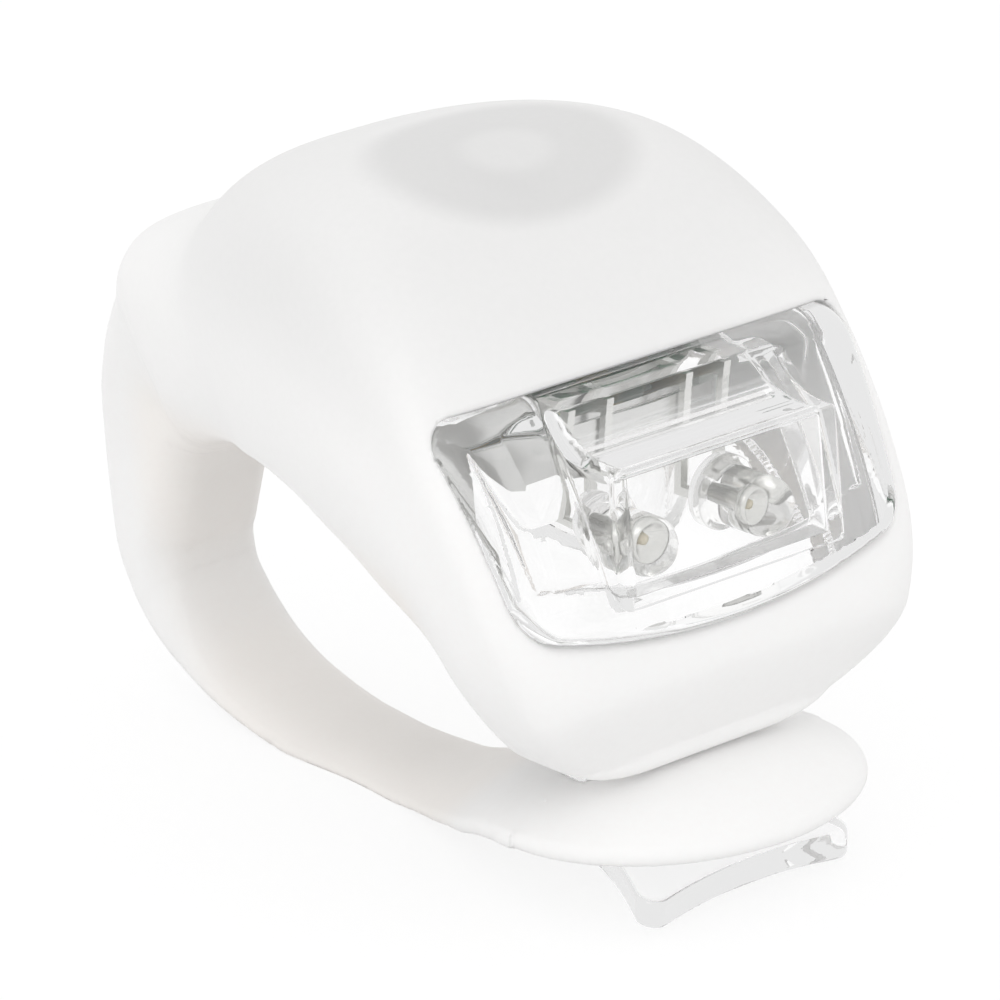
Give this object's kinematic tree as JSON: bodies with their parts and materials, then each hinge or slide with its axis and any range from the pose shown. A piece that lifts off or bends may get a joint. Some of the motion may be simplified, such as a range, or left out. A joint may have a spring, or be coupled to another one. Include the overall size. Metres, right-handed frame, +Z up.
{
  "type": "bike light",
  "caption": "Silicone-bodied handlebar light with a clear faceted lens, a soft push button on top and an integral strap that loops under the bar to a clear hook.",
  "frame": {"origin": "middle of the footprint of the bounding box, on the resting plane under the strap and the hook", "axes": "X along the handlebar, -Y the way the lens faces, +Z up through the button"},
  "size_m": [0.0294, 0.047, 0.0347],
  "materials": {
    "silicone": "translucent white silicone, satin",
    "clear_plastic": "clear polycarbonate, polished",
    "board_laminate": "glass-fibre laminate, green",
    "led_resin": "water-clear epoxy",
    "tinned_wire": "tinned",
    "black_plastic": "moulded",
    "bright_steel": "bright nickel-plated",
    "ceramic": "ceramic chip",
    "cell_paste": "pressed powder",
    "gasket_plastic": "moulded",
    "spring_brass": "spring strip"
  },
  "bodies": {
    "light": {"silicone_sleeve": "silicone", "lens_housing": "clear_plastic", "battery_cover": "clear_plastic", "circuit_board": "board_laminate", "led_left": "led_resin", "led_right": "led_resin", "led_leads_left": "tinned_wire", "led_leads_right": "tinned_wire", "switch_base": "black_plastic", "switch_cover_plate": "bright_steel", "switch_terminals": "tinned_wire", "switch_snap_dome": "bright_steel", "controller_chip": "black_plastic", "chip_pins": "tinned_wire", "resistors": "ceramic", "cell_can": "bright_steel", "cell_core": "cell_paste", "cell_gasket": "gasket_plastic", "cell_cap": "bright_steel", "positive_contact": "spring_brass", "negative_contact": "spring_brass"},
    "strap": {"silicone_strap": "silicone"},
    "button": {"button_pad": "silicone", "switch_plunger": "black_plastic"}
  },
  "joints": [
    {"name": "strap_swing", "type": "hinge", "parent": "light", "child": "strap", "pos_m": [0, 0.0195, 0.0155], "axis": [1, 0, 0], "range_deg": [0, 75], "stiffness_Nm_per_rad": 0.01, "deforming": ["silicone_strap"]},
    {"name": "button_press", "type": "slide", "parent": "light", "child": "button", "axis": [0, 0, -1], "range_m": [0, 0.0004], "stiffness_N_per_m": 4000, "deforming": ["switch_snap_dome"]}
  ]
}
